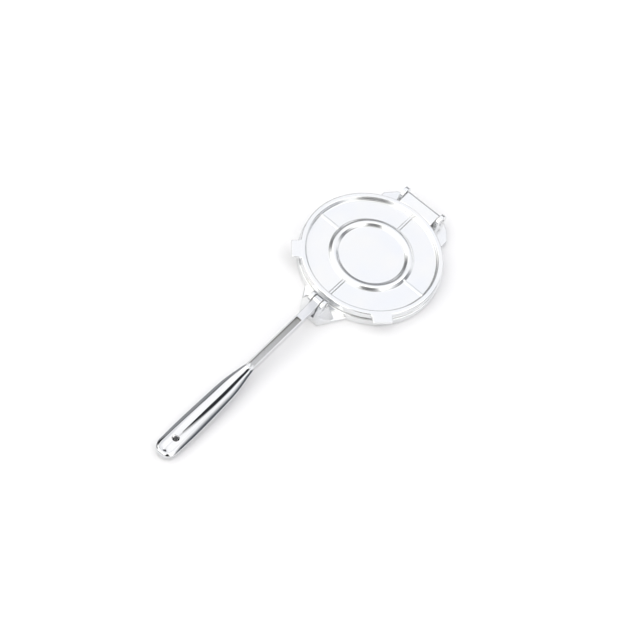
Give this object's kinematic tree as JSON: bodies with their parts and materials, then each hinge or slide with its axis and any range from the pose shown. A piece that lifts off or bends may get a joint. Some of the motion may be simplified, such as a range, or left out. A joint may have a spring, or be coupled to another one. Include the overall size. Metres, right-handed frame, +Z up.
{
  "type": "tortilla press",
  "caption": "Hand-lever tortilla press in cast aluminium: two hinged round plates with raised rims and ribs, and a long swing-over lever with a polished grip.",
  "frame": {"origin": "centre of the round lower plate, on the surface it stands on", "axes": "+Z up, +Y from the lever bracket to the plate hinge, +X along both pins"},
  "size_m": [0.204, 0.5443, 0.0395],
  "materials": {
    "cast_aluminium": "satin casting with turned faces",
    "polished_aluminium": "satin shank, mirror-polished grip",
    "pin_steel": "bright drawn steel"
  },
  "bodies": {
    "base": {"lower_plate": "cast_aluminium", "hinge_pin": "pin_steel", "lever_pin": "pin_steel"},
    "lid": {"upper_plate": "cast_aluminium"},
    "handle": {"lever": "polished_aluminium"}
  },
  "joints": [
    {"name": "plate_hinge", "type": "hinge", "parent": "base", "child": "lid", "pos_m": [0, 0.114, 0.0195], "axis": [1, 0, 0], "range_deg": [-183, 0]},
    {"name": "lever_pivot", "type": "hinge", "parent": "base", "child": "handle", "pos_m": [0, -0.118, 0.0295], "axis": [-1, 0, 0], "range_deg": [0, 180]}
  ]
}
